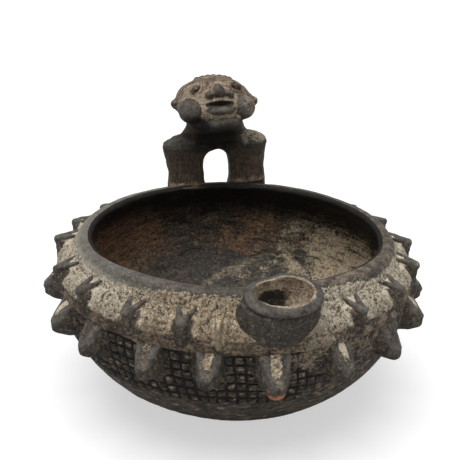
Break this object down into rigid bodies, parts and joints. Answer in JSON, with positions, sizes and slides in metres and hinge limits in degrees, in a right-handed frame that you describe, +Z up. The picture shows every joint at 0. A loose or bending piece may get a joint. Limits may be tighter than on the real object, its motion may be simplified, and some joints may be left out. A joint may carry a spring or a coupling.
{
  "type": "ceramic bowl",
  "caption": "Round-bottomed clay bowl with a pouring spout, two rows of pinched points and a small standing figure as a handle on the rim.",
  "frame": {"origin": "middle of the flat that the bowl rests on", "axes": "+Z up along the bowl's axis, +Y towards the figure at the back, -Y towards the spout, +X to the right"},
  "size_m": [0.3309, 0.3299, 0.2596],
  "materials": {
    "burnished_clay": "burnished, smoked black, worn",
    "soot_black_clay": "matt, smoked dark brown",
    "brown_clay": "matt, smoked brown with dust",
    "tan_crust": "rough, pitted, tan crust"
  },
  "bodies": {
    "root": {"base_bowl": "soot_black_clay", "belly_ring": "brown_clay", "shoulder_ring": "tan_crust", "rim_ring": "burnished_clay", "spout_tube": "burnished_clay", "spout_lip": "burnished_clay", "spur_01": "burnished_clay", "spur_02": "burnished_clay", "spur_03": "burnished_clay", "spur_04": "burnished_clay", "spur_05": "burnished_clay", "spur_06": "burnished_clay", "spur_07": "burnished_clay", "spur_08": "burnished_clay", "spur_09": "burnished_clay", "spur_10": "burnished_clay", "spur_11": "burnished_clay", "spur_12": "burnished_clay", "spur_13": "burnished_clay", "spur_14": "burnished_clay", "spur_15": "burnished_clay", "spur_16": "burnished_clay", "spur_17": "burnished_clay", "spur_18": "burnished_clay", "spur_19": "burnished_clay", "spur_20": "burnished_clay", "boss_01": "brown_clay", "boss_02": "brown_clay", "boss_03": "brown_clay", "boss_04": "brown_clay", "boss_05": "brown_clay", "boss_06": "brown_clay", "boss_07": "brown_clay", "boss_08": "brown_clay", "boss_09": "brown_clay", "boss_10": "brown_clay", "boss_11": "brown_clay", "boss_12": "brown_clay", "boss_13": "brown_clay", "boss_14": "brown_clay", "boss_15": "brown_clay", "boss_16": "brown_clay", "left_arm": "soot_black_clay", "right_arm": "soot_black_clay", "chest": "soot_black_clay", "neck": "soot_black_clay", "head": "brown_clay", "left_cheek": "burnished_clay", "left_eye": "burnished_clay", "left_ear": "brown_clay", "right_cheek": "burnished_clay", "right_eye": "burnished_clay", "right_ear": "brown_clay", "nose": "brown_clay", "upper_lip": "brown_clay", "lower_lip": "brown_clay", "hair_crest": "brown_clay"}
  },
  "joints": []
}
